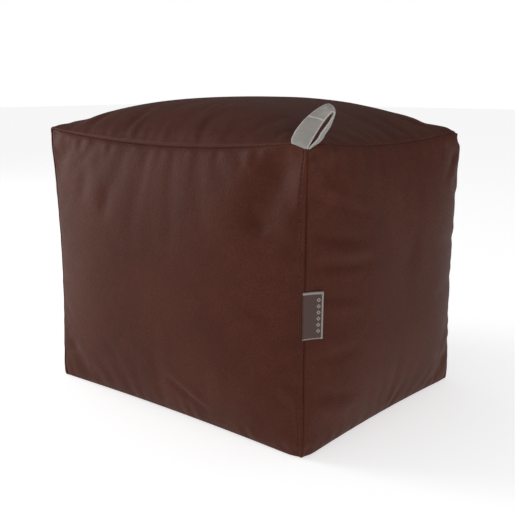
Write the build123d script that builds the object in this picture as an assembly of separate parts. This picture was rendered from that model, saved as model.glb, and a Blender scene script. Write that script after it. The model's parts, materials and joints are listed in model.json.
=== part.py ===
from build123d import *
import os

# A box-shaped bean bag seat: a faux leather cover of sewn panels over a liner full of beads, a
# webbing loop in one top corner, a label in the seam below it and a zip under the base.
# Millimetres. +X runs along the wide front, +Y from front to back, +Z up, and the origin is on
# the floor under the middle of the seat.

os.makedirs("parts", exist_ok=True)

# ---------------------------------------------------------------- driving dimensions
TOP_WIDTH = 500          # between the top corners, along X
TOP_DEPTH = 396          # between the top corners, along Y
BASE_WIDTH = 494         # between the base corners, along X
BASE_DEPTH = 392
HEIGHT = 400             # from the floor to the top corners
TOP_CROWN = 55           # how far the filling lifts the middle of the top over its corners
SIDE_CROWN = 30          # how far it pushes the middle of each side out past its corners
TOP_SEAM_PULL = 6        # how far the middle of a top seam is pulled in by the filled panels
LONG_SEAM_SAG = 10       # how far the middle of the front and back top seams hangs down
SHORT_SEAM_SAG = 5
UPRIGHT_PULL = 5         # how far the middle of an upright seam is pulled in, in X and in Y
BASE_SEAM_PULL = 10

COVER = 1.2              # faux leather
LINER_START = 1.7        # the liner starts half a millimetre inside the cover
LINER = 0.8
FILL_START = 2.6

WEBBING_THICKNESS = 1.4
ROOT_HEIGHT = 2.5        # how far a sewn-in webbing end stands out of its seam
LABEL_HEIGHT = 61
LABEL_FOOT = 160.5         # height of the label's lower edge over the floor
LABEL_REACH = 24
LABEL_THICKNESS = 0.9
LABEL_LEAN = 32          # degrees between the label and the plane of the right side
LABEL_STANDOFF = 1.2     # from the seam line out to the label's hinge line

POCKET_LENGTH = 424      # the recess that keeps the zip off the floor
POCKET_WIDTH = 46
POCKET_RISE = 8
POCKET_SLOPE = 5         # how much narrower the recess is at its roof, on each side
ZIP_SLOT_LENGTH = 350
ZIP_SLOT_WIDTH = 11
TAPE_LENGTH = 376
TAPE_WIDTH = 16
TAPE_THICKNESS = 0.5
TAPE_EDGE = 1.0          # from the zip's centre line to the edge of each tape
TEETH_LENGTH = 324
TOOTH_PITCH = 3
TOOTH_WIDTH = 1.4
TOOTH_HEAD = 0.7         # from the zip's centre line to the tip of each tooth
TOOTH_ROOT = 2.2
TEETH_BACK = 3.0
TEETH_DEPTH = 1.0
STOP_PLACE = 170         # from the middle of the zip to each end stop
SLIDER_PLACE = 158       # the slider's place when the zip is closed
SLIDER_LENGTH = 12
SLIDER_WIDTH = 9
PULL_LENGTH = 28

ROOF = POCKET_RISE + COVER            # height of the recess's inner face, where the tapes lie
TEETH_LOW = ROOF - TEETH_DEPTH


# ---------------------------------------------------------------- the panels' shared shape
def corner(side_x, side_y, is_top, inset):
    """One corner of the seat, moved inwards by inset along all three axes."""
    width, depth = (TOP_WIDTH, TOP_DEPTH) if is_top else (BASE_WIDTH, BASE_DEPTH)
    height = HEIGHT - inset if is_top else inset
    return Vector(side_x * (width / 2 - inset), side_y * (depth / 2 - inset), height)


def seam_bow(start, end):
    """How far the middle of the seam between two corners is moved by the filling."""
    side_x, side_y, is_top = start
    if is_top != end[2]:
        return Vector(-side_x * UPRIGHT_PULL, -side_y * UPRIGHT_PULL, 0)
    if side_x == end[0]:
        inward = Vector(-side_x, 0, 0)
        sag = SHORT_SEAM_SAG
    else:
        inward = Vector(0, -side_y, 0)
        sag = LONG_SEAM_SAG
    if is_top:
        return inward * TOP_SEAM_PULL + Vector(0, 0, -sag)
    return inward * BASE_SEAM_PULL


PANELS = {
    "top": ([(-1, -1, True), (1, -1, True), (1, 1, True), (-1, 1, True)], Vector(0, 0, TOP_CROWN)),
    "base": ([(-1, -1, False), (1, -1, False), (1, 1, False), (-1, 1, False)], Vector(0, 0, 0)),
    "front": ([(-1, -1, False), (1, -1, False), (1, -1, True), (-1, -1, True)],
              Vector(0, -SIDE_CROWN, 0)),
    "right": ([(1, -1, False), (1, 1, False), (1, 1, True), (1, -1, True)],
              Vector(SIDE_CROWN, 0, 0)),
    "back": ([(1, 1, False), (-1, 1, False), (-1, 1, True), (1, 1, True)],
             Vector(0, SIDE_CROWN, 0)),
    "left": ([(-1, 1, False), (-1, -1, False), (-1, -1, True), (-1, 1, True)],
             Vector(-SIDE_CROWN, 0, 0)),
}


def control_net(panel, inset):
    """The 4 by 4 Bezier net of one panel: bowed seams, and a middle lifted by its crown."""
    keys, crown = PANELS[panel]
    points = [corner(*key, inset) for key in keys]
    bows = [seam_bow(keys[i], keys[(i + 1) % 4]) for i in range(4)]
    lift = (crown - sum(bows, Vector(0, 0, 0)) * 0.125) / 0.5625
    net = []
    for i in range(4):
        row = []
        for j in range(4):
            u, v = i / 3, j / 3
            point = points[0] * (1 - u) * (1 - v) + points[1] * u * (1 - v)
            point = point + points[2] * u * v + points[3] * (1 - u) * v
            across, along = i in (0, 3), j in (0, 3)
            if along and not across:
                point = point + bows[0 if j == 0 else 2] * (4 / 3)
            if across and not along:
                point = point + bows[1 if i == 3 else 3] * (4 / 3)
            if not across and not along:
                point = point + lift
            row.append(point)
        net.append(row)
    return net


def seams(net):
    """The four border curves of a net, each as its control points."""
    return [[row[0] for row in net], net[3], [row[3] for row in net], net[0]]


def panel_face(panel, inset):
    if panel == "base":
        return Face(Wire([Edge.make_bezier(*curve) for curve in seams(control_net(panel, inset))]))
    return Face.make_bezier_surface(control_net(panel, inset))


def ruled(first, second):
    return Face.make_surface_from_curves(Edge.make_bezier(*first), Edge.make_bezier(*second))


def panel_solid(panel, outer, inner):
    """One panel with thickness, mitred along its seams so that neighbours meet face to face."""
    outline = seams(control_net(panel, outer))
    lining = seams(control_net(panel, inner))
    mitres = [ruled(first, second) for first, second in zip(outline, lining)]
    return Solid(Shell([panel_face(panel, outer), panel_face(panel, inner), *mitres]))


def open_tub(outer, inner):
    """The base and four sides as one skin, open at the top."""
    walls = ["base", "front", "right", "back", "left"]
    rim_out = seams(control_net("top", outer))
    rim_in = seams(control_net("top", inner))
    faces = [panel_face(wall, inset) for wall in walls for inset in (outer, inner)]
    faces += [ruled(first, second) for first, second in zip(rim_out, rim_in)]
    return Solid(Shell(faces))


def full_block(inset):
    return Solid(Shell([panel_face(panel, inset) for panel in PANELS]))


def zip_recess(grow, rise, floor=0):
    """The hollow over the zip, from floor up to rise, grown sideways all round."""
    mouth = Plane.XY.offset(floor) * Rectangle(POCKET_LENGTH + 2 * grow, POCKET_WIDTH + 2 * grow)
    roof_length = POCKET_LENGTH - 2 * POCKET_SLOPE + 2 * grow
    roof_width = POCKET_WIDTH - 2 * POCKET_SLOPE + 2 * grow
    roof = Plane.XY.offset(rise) * Rectangle(roof_length, roof_width)
    return loft([mouth.face(), roof.face()])


# ---------------------------------------------------------------- the cover and what it holds
def side_panels():
    names = ("top", "front", "right", "back", "left")
    return {name + "_panel": panel_solid(name, 0, COVER) for name in names}


def front_and_rear(sheet, name):
    """A sheet cut in two along the zip."""
    halves = {}
    for end, side in (("_front", -1), ("_rear", 1)):
        half_space = Pos(0, side * BASE_DEPTH / 2, 0) * Box(2 * BASE_WIDTH, BASE_DEPTH, 60)
        halves[name + end] = sheet & half_space
    return halves


def base_and_facings():
    """The flat base in two halves, and the facings that rise from it and hold the zip."""
    flat = panel_solid("base", 0, COVER) - zip_recess(COVER, ROOF)
    facing = zip_recess(COVER, ROOF) - zip_recess(0, POCKET_RISE)
    facing = facing - Pos(0, 0, ROOF) * Box(ZIP_SLOT_LENGTH, ZIP_SLOT_WIDTH, 6)
    pieces = front_and_rear(flat, "base_panel")
    pieces.update(front_and_rear(facing, "zip_facing"))
    return pieces


def liner():
    """The inner bag: a tub pressed up over the zip, and a lid sewn to its rim."""
    start_rise = ROOF + 3.0
    tub = open_tub(LINER_START, LINER_START + LINER)
    tub = tub + zip_recess(3.0, start_rise + LINER, LINER_START)
    tub = tub - zip_recess(2.0, start_rise, LINER_START)
    lid = panel_solid("top", LINER_START, LINER_START + LINER)
    return {"liner_tub": tub, "liner_lid": lid}


def bead_fill():
    return full_block(FILL_START) - zip_recess(4.2, ROOF + 3.0 + LINER + 0.3)


def curve_at(net, part_way):
    """Control points of the line that runs up a panel, part_way from its first upright seam."""
    rest = 1 - part_way
    weights = (rest ** 3, 3 * part_way * rest ** 2, 3 * part_way ** 2 * rest, part_way ** 3)
    columns = []
    for j in range(4):
        columns.append(sum((net[i][j] * weights[i] for i in range(4)), Vector(0, 0, 0)))
    return columns


def strand(points, side, out):
    """A thread of square section along a Bezier curve: side and out are its half widths."""
    rails = [[p + side * a + out * b for p in points] for a, b in ((-1, -1), (1, -1), (1, 1), (-1, 1))]
    faces = [ruled(rails[k], rails[(k + 1) % 4]) for k in range(4)]
    for end in (0, 3):
        faces.append(Face(Wire.make_polygon([rail[end] for rail in rails], close=True)))
    return Solid(Shell(faces))


def corner_topstitch():
    """One row of stitching beside each upright seam, on the front and on the back."""
    stitch_inset, half_width, half_depth, lift = 7, 0.35, 0.25, 0.35
    threads = []
    for panel, outward in (("front", Vector(0, -1, 0)), ("back", Vector(0, 1, 0))):
        net = control_net(panel, 0)
        for part_way in (stitch_inset / TOP_WIDTH, 1 - stitch_inset / TOP_WIDTH):
            line = [p + outward * lift for p in curve_at(net, part_way)]
            threads.append(strand(line, Vector(half_width, 0, 0), outward * half_depth))
    return Compound(threads)


# ---------------------------------------------------------------- the webbing loop
LOOP_CORNER = corner(1, -1, True, 0)

# The two edges of the webbing, from the leg in the front seam over the bend to the leg in the
# right seam, measured from the corner of the seat.
NEAR_EDGE = [(4.8, 2.5, 9), (10.5, 4.9, 19.5), (21.4, 4.4, 32.7), (29.3, 3.8, 40.2),
             (32.3, 4.6, 42), (32.4, 6, 38.5), (24.2, 7, 28.8), (14, 6.5, 17), (8.8, 6, 9)]
FAR_EDGE = [(-20.4, -2.2, 14), (-15.3, -3.1, 20.7), (-4, -0.7, 33.5), (6.4, 9.9, 44.8),
            (15, 19.5, 50), (18.9, 26.8, 42), (12.5, 28, 25.5), (4.5, 27.8, 14.5), (-0.6, 26.8, 7)]


def webbing_strip(near_points, far_points, thickness):
    """A flat strip between two edges that bend in space."""
    near = [LOOP_CORNER + Vector(*p) for p in near_points]
    far = [LOOP_CORNER + Vector(*p) for p in far_points]
    rails = [[], [], [], []]
    for k in range(len(near)):
        before, after = max(k - 1, 0), min(k + 1, len(near) - 1)
        along = (near[after] + far[after]) - (near[before] + far[before])
        lift = along.cross(far[k] - near[k]).normalized() * (thickness / 2)
        for rail, point in zip(rails, (near[k] - lift, far[k] - lift, far[k] + lift, near[k] + lift)):
            rail.append(point)
    edges = [Edge.make_spline(rail) for rail in rails]
    faces = [Face.make_surface_from_curves(edges[k], edges[(k + 1) % 4]) for k in range(4)]
    for end in (0, -1):
        faces.append(Face(Wire.make_polygon([rail[end] for rail in rails], close=True)))
    return Solid(Shell(faces))


def loop_root():
    """The two ends of the webbing where they come out of the top seams beside the corner."""
    width, gap = 24, 1.5
    lift = 0.3 + ROOT_HEIGHT / 2
    front_end = Box(width, WEBBING_THICKNESS, ROOT_HEIGHT)
    right_end = Box(WEBBING_THICKNESS, width, ROOT_HEIGHT)
    reach = width / 2 + gap
    front_place = LOOP_CORNER + Vector(-reach, WEBBING_THICKNESS / 2, lift)
    right_place = LOOP_CORNER + Vector(-WEBBING_THICKNESS / 2, reach + 1, lift)
    return Compound([Pos(*front_place) * front_end, Pos(*right_place) * right_end])


# ---------------------------------------------------------------- the side label
def label_hinge():
    """Where the label's seam edge is, half way up the label, just outside the seam line."""
    middle = (LABEL_FOOT + LABEL_HEIGHT / 2) / HEIGHT
    low, high = corner(1, -1, False, 0), corner(1, -1, True, 0)
    bow = seam_bow((1, -1, False), (1, -1, True)) * (4 * middle * (1 - middle))
    standoff = Vector(1, -1, 0).normalized() * LABEL_STANDOFF
    return low * (1 - middle) + high * middle + bow + standoff


def label_plate(start, end):
    hinge = label_hinge()
    plate = Pos((start + end) / 2, 0, 0) * Box(end - start, LABEL_THICKNESS, LABEL_HEIGHT)
    return Pos(hinge.X, hinge.Y, hinge.Z) * Rot(0, 0, 90 - LABEL_LEAN) * plate


# ---------------------------------------------------------------- the zip
def zip_tape(side):
    middle = side * (TAPE_EDGE + TAPE_WIDTH / 2)
    height = ROOF + TAPE_THICKNESS / 2
    return Pos(0, middle, height) * Box(TAPE_LENGTH, TAPE_WIDTH, TAPE_THICKNESS)


def zip_teeth(side):
    """One row of teeth: a comb whose teeth fall between those of the other row."""
    count = int(TEETH_LENGTH / TOOTH_PITCH)
    shift = side * TOOTH_PITCH / 4
    outline = [(-TEETH_LENGTH / 2 - 2, TEETH_BACK)]
    outline.append((-TEETH_LENGTH / 2 - 2, TOOTH_ROOT))
    for k in range(count):
        middle = -TEETH_LENGTH / 2 + (k + 0.5) * TOOTH_PITCH + shift
        left, right = middle - TOOTH_WIDTH / 2, middle + TOOTH_WIDTH / 2
        outline += [(left, TOOTH_ROOT), (left, TOOTH_HEAD), (right, TOOTH_HEAD), (right, TOOTH_ROOT)]
    outline.append((TEETH_LENGTH / 2 + 2, TOOTH_ROOT))
    outline.append((TEETH_LENGTH / 2 + 2, TEETH_BACK))
    profile = Face(Wire.make_polygon([(x, side * y, TEETH_LOW) for x, y in outline], close=True))
    return Solid.extrude(profile, Vector(0, 0, TEETH_DEPTH))


def zip_stops():
    """A separate clamp on each tape at the closing end, and one across both at the other."""
    length, clamp_width, height = 3, 2.7, 1.2
    low = ROOF - height / 2
    stops = []
    for side in (-1, 1):
        place = side * (TOOTH_HEAD + clamp_width / 2)
        stops.append(Pos(STOP_PLACE, place, low) * Box(length, clamp_width, height))
    across = 2 * (TOOTH_HEAD + clamp_width)
    stops.append(Pos(-STOP_PLACE, 0, low) * Box(length, across, height))
    return Compound(stops)


PLATE = 1.0
OUTER_PLATE = TEETH_LOW - 0.3 - PLATE / 2       # height of the middle of the outer plate
INNER_PLATE = ROOF + TAPE_THICKNESS + 0.3 + PLATE / 2
PULL_AXIS = OUTER_PLATE - PLATE / 2 - 0.95      # height of the bar that the pull turns on
BAR_RADIUS = 0.6


def zip_slider():
    """Two plates round the teeth, a post between them at the nose, and a bridge for the pull."""
    plate = Box(SLIDER_LENGTH, SLIDER_WIDTH, PLATE)
    plate = fillet(plate.edges().filter_by(Axis.Z), 2.5)
    slider = Pos(0, 0, OUTER_PLATE) * plate + Pos(0, 0, INNER_PLATE) * plate
    post_height = INNER_PLATE - OUTER_PLATE
    post = Pos(4.5, 0, OUTER_PLATE + post_height / 2) * Box(2, 0.7, post_height)
    slider = slider + post
    for side in (-1, 1):
        wall = Box(SLIDER_LENGTH - 5, 1, 1.0)
        slider = slider + Pos(0, side * 4, OUTER_PLATE + PLATE / 2 + 0.5) * wall
    bridge_drop = 2.7
    bridge = Pos(0, 0, OUTER_PLATE - PLATE / 2 - bridge_drop / 2) * Box(4.8, 1.8, bridge_drop)
    bridge = bridge - Pos(0, 0, OUTER_PLATE - PLATE / 2 - 0.95) * Box(2, 4, 1.9)
    return Pos(SLIDER_PLACE, 0, 0) * (slider + bridge)


def zip_pull():
    """A ring with a crossbar through the slider's bridge, and a flat tab to hold."""
    bar = Rot(90, 0, 0) * Cylinder(BAR_RADIUS, 5)
    blank = Pos(-PULL_LENGTH / 2, 0, 0) * Box(PULL_LENGTH, 5.6, 2 * BAR_RADIUS)
    blank = fillet(blank.edges().filter_by(Axis.Z), 1.2)
    window = Pos(-3, 0, 0) * Box(6, 3.2, 4)
    grip_hole = Pos(-PULL_LENGTH + 5, 0, 0) * Cylinder(1.3, 4)
    pull = blank - window - grip_hole + bar
    return Pos(SLIDER_PLACE, 0, PULL_AXIS) * pull


def zip_stitching():
    """Two rows of thread on each side, holding the tapes to the edges of the base panels."""
    threads = []
    for place in (-14, -7.5, 7.5, 14):
        threads.append(Pos(0, place, POCKET_RISE - 0.2) * Box(TAPE_LENGTH - 8, 0.6, 0.4))
    return Compound(threads)


# ---------------------------------------------------------------- writing the pieces
def all_pieces():
    pieces = side_panels()
    pieces.update(base_and_facings())
    pieces.update(liner())
    pieces["bead_fill"] = bead_fill()
    pieces["corner_topstitch"] = corner_topstitch()
    pieces["loop_root"] = loop_root()
    pieces["carry_loop"] = webbing_strip(NEAR_EDGE, FAR_EDGE, WEBBING_THICKNESS)
    pieces["label_root"] = label_plate(0.6, 2.2)
    pieces["side_label"] = label_plate(3.2, LABEL_REACH)
    for name, side in (("front", -1), ("rear", 1)):
        pieces["zip_tape_" + name] = zip_tape(side)
        pieces["zip_teeth_" + name] = zip_teeth(side)
    pieces["zip_stops"] = zip_stops()
    pieces["zip_slider"] = zip_slider()
    pieces["zip_pull"] = zip_pull()
    pieces["zip_stitching"] = zip_stitching()
    return pieces


for piece_name, piece in all_pieces().items():
    export_step(piece, f"parts/{piece_name}.step")

hinge_line = label_hinge()
print("label hinge at", round(hinge_line.X, 2), round(hinge_line.Y, 2), "pull bar at height", PULL_AXIS)
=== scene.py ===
# %% [markdown]
# # A box-shaped bean bag seat
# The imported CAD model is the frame: it fixes the size, the joints and the place of every part.
# Everything below adds the looks around it, in metres and in the same axes. The wide front faces
# -Y, the floor is z = 0, and the webbing loop stands on the corner at +X, -Y.

# %% Load the frame
import json
import math

import bmesh
import bpy
import numpy as np
from mathutils import Matrix, Vector
from mathutils.kdtree import KDTree


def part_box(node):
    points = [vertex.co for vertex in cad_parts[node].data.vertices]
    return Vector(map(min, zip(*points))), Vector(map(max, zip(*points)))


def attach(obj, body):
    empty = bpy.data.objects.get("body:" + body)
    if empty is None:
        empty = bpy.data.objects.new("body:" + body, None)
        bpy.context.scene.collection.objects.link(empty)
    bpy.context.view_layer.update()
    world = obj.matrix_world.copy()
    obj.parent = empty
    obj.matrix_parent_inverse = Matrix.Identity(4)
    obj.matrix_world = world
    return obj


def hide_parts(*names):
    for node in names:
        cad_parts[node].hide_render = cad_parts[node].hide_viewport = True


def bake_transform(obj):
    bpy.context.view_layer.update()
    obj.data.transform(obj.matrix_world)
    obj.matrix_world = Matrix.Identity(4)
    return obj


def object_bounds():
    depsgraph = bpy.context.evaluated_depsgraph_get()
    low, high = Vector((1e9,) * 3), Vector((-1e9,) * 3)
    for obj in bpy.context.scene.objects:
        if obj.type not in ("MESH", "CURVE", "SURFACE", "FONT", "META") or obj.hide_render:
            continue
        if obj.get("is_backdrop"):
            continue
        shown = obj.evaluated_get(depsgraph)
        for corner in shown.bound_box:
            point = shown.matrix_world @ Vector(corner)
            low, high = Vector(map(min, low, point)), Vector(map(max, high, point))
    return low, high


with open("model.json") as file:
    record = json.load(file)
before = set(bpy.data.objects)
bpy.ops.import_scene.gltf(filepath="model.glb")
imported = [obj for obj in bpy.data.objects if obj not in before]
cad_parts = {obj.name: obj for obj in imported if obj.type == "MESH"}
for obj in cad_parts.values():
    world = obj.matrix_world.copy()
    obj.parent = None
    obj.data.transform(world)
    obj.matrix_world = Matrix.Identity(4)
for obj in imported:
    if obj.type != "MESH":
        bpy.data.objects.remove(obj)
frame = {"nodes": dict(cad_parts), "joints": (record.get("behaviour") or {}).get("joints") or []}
CAD_LOW, CAD_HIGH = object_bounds()
MM = 0.001

# %% [markdown]
# ## Measures taken from the frame
# The corners of the cover come from the boxes of its panels. A box spans the bulge as well as the
# seams, so the width is read on the front panel and the depth on the right one, where only the
# seams reach the ends.

# %% Measures of the cover
front_low, front_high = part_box("front_panel")
right_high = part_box("right_panel")[1]
top_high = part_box("top_panel")[1]
base_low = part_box("base_panel_front")[0]
HALF_WIDTH = front_high[0]
HALF_DEPTH = right_high[1]
BASE_HALF_WIDTH = -base_low[0]
BASE_HALF_DEPTH = -base_low[1]
HEIGHT = front_high[2]
SIDE_CROWN = -front_low[1] - HALF_DEPTH
TOP_CROWN = top_high[2] - HEIGHT
LOOP_CORNER = Vector((HALF_WIDTH, -HALF_DEPTH, HEIGHT))
print("half width and depth", round(HALF_WIDTH, 4), round(HALF_DEPTH, 4), "height", round(HEIGHT, 4))

# %% [markdown]
# ## Camera, light and floor
# The camera stands at the near corner, a little above the seat. A broad soft light comes from the
# left, a weaker one fills the right side, and the floor and the backdrop are both almost white.


# %% Camera
def add_object(name, data):
    made = bpy.data.objects.new(name, data)
    bpy.context.scene.collection.objects.link(made)
    return made


VIEW_TURN, VIEW_LIFT, VIEW_DISTANCE = math.radians(40.25), math.radians(12.1), 1.303
VIEW_TARGET = Vector((0, 0, 0.2))
FOCAL_LENGTH, FILM_WIDTH, FILM_SHIFT = 56.83, 36, (0.0058, 0.001)
camera = add_object("camera", bpy.data.cameras.new("camera"))
back = Vector((
    math.sin(VIEW_TURN) * math.cos(VIEW_LIFT),
    -math.cos(VIEW_TURN) * math.cos(VIEW_LIFT),
    math.sin(VIEW_LIFT),
))
camera.location = VIEW_TARGET + back * VIEW_DISTANCE
camera.rotation_euler = (-back).to_track_quat("-Z", "Y").to_euler()
camera.data.sensor_width, camera.data.lens = FILM_WIDTH, FOCAL_LENGTH
camera.data.shift_x, camera.data.shift_y = FILM_SHIFT
bpy.context.scene.camera = camera
print("camera at", [round(x, 3) for x in camera.location])


# %% Lights and floor
def aimed_light(name, place, target, size, watts):
    light = bpy.data.lights.new(name, "AREA")
    light.shape, light.energy = "RECTANGLE", watts
    light.size, light.size_y = size
    lamp = add_object(name, light)
    lamp.location = place
    lamp.rotation_euler = (Vector(target) - Vector(place)).to_track_quat("-Z", "Y").to_euler()


aimed_light("window_left", (-2.6, -1.25, 1.0), (-0.1, -0.2, 0.2), (1.2, 1.2), 46)
aimed_light("window_right", (2.7, -0.8, 0.8), (0.2, 0, 0.2), (1.2, 1.0), 13)

# A very soft sun from above lights the whole floor alike, out to the horizon.
day = bpy.data.lights.new("soft_day", "SUN")
day.energy, day.angle = 0.6, math.radians(80)
add_object("soft_day", day).rotation_euler = (math.radians(12), math.radians(-16), 0)

# The backdrop looks white, but it lights the seat with little more than a quarter of that strength.
SEEN_STRENGTH, LIGHTING_STRENGTH = 1.0, 0.28
world = bpy.data.worlds.new("studio")
world.use_nodes = True
backdrop = world.node_tree.nodes["Background"]
backdrop.inputs["Color"].default_value = (1, 1, 1, 1)
seen = world.node_tree.nodes.new("ShaderNodeLightPath")
strength = world.node_tree.nodes.new("ShaderNodeMapRange")
strength.inputs["To Min"].default_value = LIGHTING_STRENGTH
strength.inputs["To Max"].default_value = SEEN_STRENGTH
world.node_tree.links.new(seen.outputs["Is Camera Ray"], strength.inputs["Value"])
world.node_tree.links.new(strength.outputs["Result"], backdrop.inputs["Strength"])
bpy.context.scene.world = world
bpy.context.scene.view_settings.view_transform = "Standard"


def to_mesh(name, bm, material=None):
    made = bpy.data.meshes.new(name)
    bm.to_mesh(made)
    bm.free()
    if material:
        made.materials.append(material)
    return made


floor_paint = bpy.data.materials.new("pale_floor")
floor_paint.use_nodes = True
paint = floor_paint.node_tree.nodes["Principled BSDF"]
for socket, value in {"Base Color": (0.7, 0.7, 0.7, 1), "Roughness": 0.9, "Specular IOR Level": 0.1,
                      "Emission Color": (1, 1, 1, 1), "Emission Strength": 0.6}.items():
    paint.inputs[socket].default_value = value
FLOOR_HALF_SIZE = 14
plane = bmesh.new()
bmesh.ops.create_grid(plane, x_segments=1, y_segments=1, size=FLOOR_HALF_SIZE)
add_object("floor", to_mesh("floor", plane, floor_paint))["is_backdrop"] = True

# %% [markdown]
# ## A small language for shaders
# Writing shader maths as Python is easier to read than wiring nodes one at a time. `Wire` wraps a
# socket, so that `a * b + 1` adds the Math nodes, and `Shader.node` adds any other node.


# %% Shader helpers
class Wire:
    """A number that varies over the surface: arithmetic on it adds Math nodes."""

    def __init__(self, shader, socket):
        self.shader, self.socket = shader, socket

    def _math(self, operation, first, second=None):
        values = {0: first} if second is None else {0: first, 1: second}
        return self.shader.node("ShaderNodeMath", {"operation": operation}, values)

    def __add__(self, other):
        return self._math("ADD", self, other)

    __radd__ = __add__

    def __sub__(self, other):
        return self._math("SUBTRACT", self, other)

    def __rsub__(self, other):
        return self._math("SUBTRACT", other, self)

    def __mul__(self, other):
        return self._math("MULTIPLY", self, other)

    __rmul__ = __mul__

    def __mod__(self, other):
        return self._math("FLOORED_MODULO", self, other)

    def __gt__(self, other):
        return self._math("GREATER_THAN", self, other)

    def sine(self):
        return self._math("SINE", self)

    def absolute(self):
        return self._math("ABSOLUTE", self)

    def highest(self, other):
        return self._math("MAXIMUM", self, other)

    def between(self, low, high):
        """0 below low, 1 above high, and smooth between them."""
        settings = {"interpolation_type": "SMOOTHSTEP"}
        return self.shader.node("ShaderNodeMapRange", settings, {0: self, 1: low, 2: high})


class Shader:
    """A new material with one Principled shader."""

    def __init__(self, name, **sockets):
        self.material = bpy.data.materials.new(name)
        self.material.use_nodes = True
        self.nodes = self.material.node_tree.nodes
        self.links = self.material.node_tree.links
        self.principled = self.nodes["Principled BSDF"]
        self.set(**sockets)

    def set(self, **sockets):
        for name, value in sockets.items():
            self._fill(self.principled.inputs[name.replace("_", " ")], value)

    def _fill(self, socket, value):
        if isinstance(value, Wire):
            self.links.new(value.socket, socket)
        elif isinstance(value, (tuple, list)) and socket.type == "RGBA" and len(value) == 3:
            socket.default_value = (*value, 1)
        else:
            socket.default_value = value

    def node(self, kind, settings=None, values=None, output=0):
        """Adds a node of any type: its settings first, then the values or links of its sockets."""
        made = self.nodes.new(kind)
        for name, value in (settings or {}).items():
            setattr(made, name, value)
        for socket, value in (values or {}).items():
            self._fill(made.inputs[socket], value)
        return Wire(self, made.outputs[output])

    def place(self):
        return self.node("ShaderNodeTexCoord", output="Object")

    def cloth_place(self):
        """Place on the flat cut of the cloth, in metres, from the piece's own UV map."""
        return self.node("ShaderNodeUVMap", {"uv_map": "cut"})

    def axes(self, vector):
        parts = self.nodes.new("ShaderNodeSeparateXYZ")
        self.links.new(vector.socket, parts.inputs[0])
        return [Wire(self, parts.outputs[k]) for k in range(3)]

    def noise(self, vector, scale, detail=3.0, roughness=0.5, output="Fac"):
        values = {"Vector": vector, "Scale": scale, "Detail": detail, "Roughness": roughness}
        return self.node("ShaderNodeTexNoise", None, values, output)

    def cells(self, vector, scale, feature="F1", output="Distance"):
        values = {"Vector": vector, "Scale": scale}
        return self.node("ShaderNodeTexVoronoi", {"feature": feature}, values, output)

    def blend(self, factor, first, second):
        """A colour that goes from first to second as factor goes from 0 to 1."""
        made = self.nodes.new("ShaderNodeMix")
        made.data_type = "RGBA"
        for socket, value in ((0, factor), (6, first), (7, second)):
            self._fill(made.inputs[socket], value)
        return Wire(self, made.outputs[2])

    def bump(self, height, distance, strength, under=None):
        """Raised by height times distance, in metres, over the bump under it if there is one."""
        values = {"Height": height, "Distance": distance, "Strength": strength}
        if under:
            values["Normal"] = under
        return self.node("ShaderNodeBump", None, values, "Normal")


def linear(*screen):
    """A colour named by its screen values, 0 to 255, as the linear values that a shader takes."""
    return tuple(((c / 255 + 0.055) / 1.055) ** 2.4 for c in screen)


# %% [markdown]
# ## Faux leather
# The cover is polyurethane on a knitted backing, embossed with a fine pebble grain. The grain is
# two sizes of Voronoi cells, warped by noise so that no row of cells lines up. The colour drifts
# a little, the raised pebbles are slightly glossier than the valleys, and the valleys carry painted shade.


# %% Faux leather finish
def faux_leather():
    s = Shader("faux_leather", Specular_IOR_Level=0.09, Specular_Tint=(1.0, 0.72, 0.6))
    place = s.place()
    drift = s.noise(place, 9.0, 3.0)
    patches = s.noise(place, 45.0, 4.0, 0.6)
    warp = s.noise(place, 320.0, 2.0, output="Color")
    bent = s.node("ShaderNodeVectorMath", {"operation": "MULTIPLY_ADD"},
                  {0: warp, 1: (0.0012, 0.0012, 0.0012), 2: place})
    pebble = s.cells(bent, 620.0, "SMOOTH_F1")
    small = s.cells(bent, 1350.0)
    grain = (1 - pebble * 1.3) * 0.75 + (1 - small) * 0.25
    creases = s.cells(bent, 130.0, "DISTANCE_TO_EDGE").between(0.0, 0.12)
    base = s.blend(drift.between(0.35, 0.65), linear(76, 40, 31), linear(83, 45, 35))
    base = s.blend(patches.between(0.45, 0.7) * 0.3, base, linear(92, 52, 41))
    # Painted shade: the valleys between the pebbles are darkened towards a deep brown.
    colour = s.blend((1 - grain.between(0.15, 0.75)) * 0.5, base, linear(56, 28, 21))
    s.set(Base_Color=colour, Roughness=0.54 + patches * 0.12 - grain * 0.08)
    s.set(Normal=s.bump(creases, 0.00022, 0.45, under=s.bump(grain, 0.00028, 0.75)))
    return s.material


LEATHER = faux_leather()
print("finish", LEATHER.name, "nodes", len(LEATHER.node_tree.nodes))

# %% [markdown]
# ## The filled shape
# Each panel was cut flat and sewn to its neighbours. The beads push its middle out, and that pulls
# the seams in between the corners. A point of the cover is named by where it lies on the flat box
# (`a`, `b` from -1 to 1 and `c` from 0 to 1), and `filled` says where the filling has taken it.
# Neighbouring panels share the same numbers along a seam, so they always meet.

# %% The shape that the filling gives the cover
TOP_SEAM_PULL, BASE_SEAM_PULL, UPRIGHT_PULL = 6 * MM, 7 * MM, 6 * MM
SEAM_SAG = {"front": 17 * MM, "back": 12 * MM, "right": 13 * MM, "left": -6 * MM}
SEAM_ALLOWANCE = 3 * MM                # the seams are drawn in again by about this much below
CORNER_LIFT = {(-1, -1): 8 * MM, (1, -1): 9 * MM, (1, 1): 7 * MM, (-1, 1): 12 * MM}
CORNER_DIP = {(-1, -1): 0.0, (1, -1): 9 * MM, (1, 1): 8 * MM, (-1, 1): 5 * MM}
DIP_REACH = 15 * MM
CORNER_DRAW = {(-1, -1): 1 * MM, (1, -1): 1 * MM, (1, 1): 5 * MM, (-1, 1): 4 * MM}
FOOT_DRAW = {(-1, -1): 1 * MM, (1, -1): 5 * MM, (1, 1): 1.5 * MM, (-1, 1): 3 * MM}
CORNER_REACH = 15 * MM                 # the tips of the corners are drawn in over this distance
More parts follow.
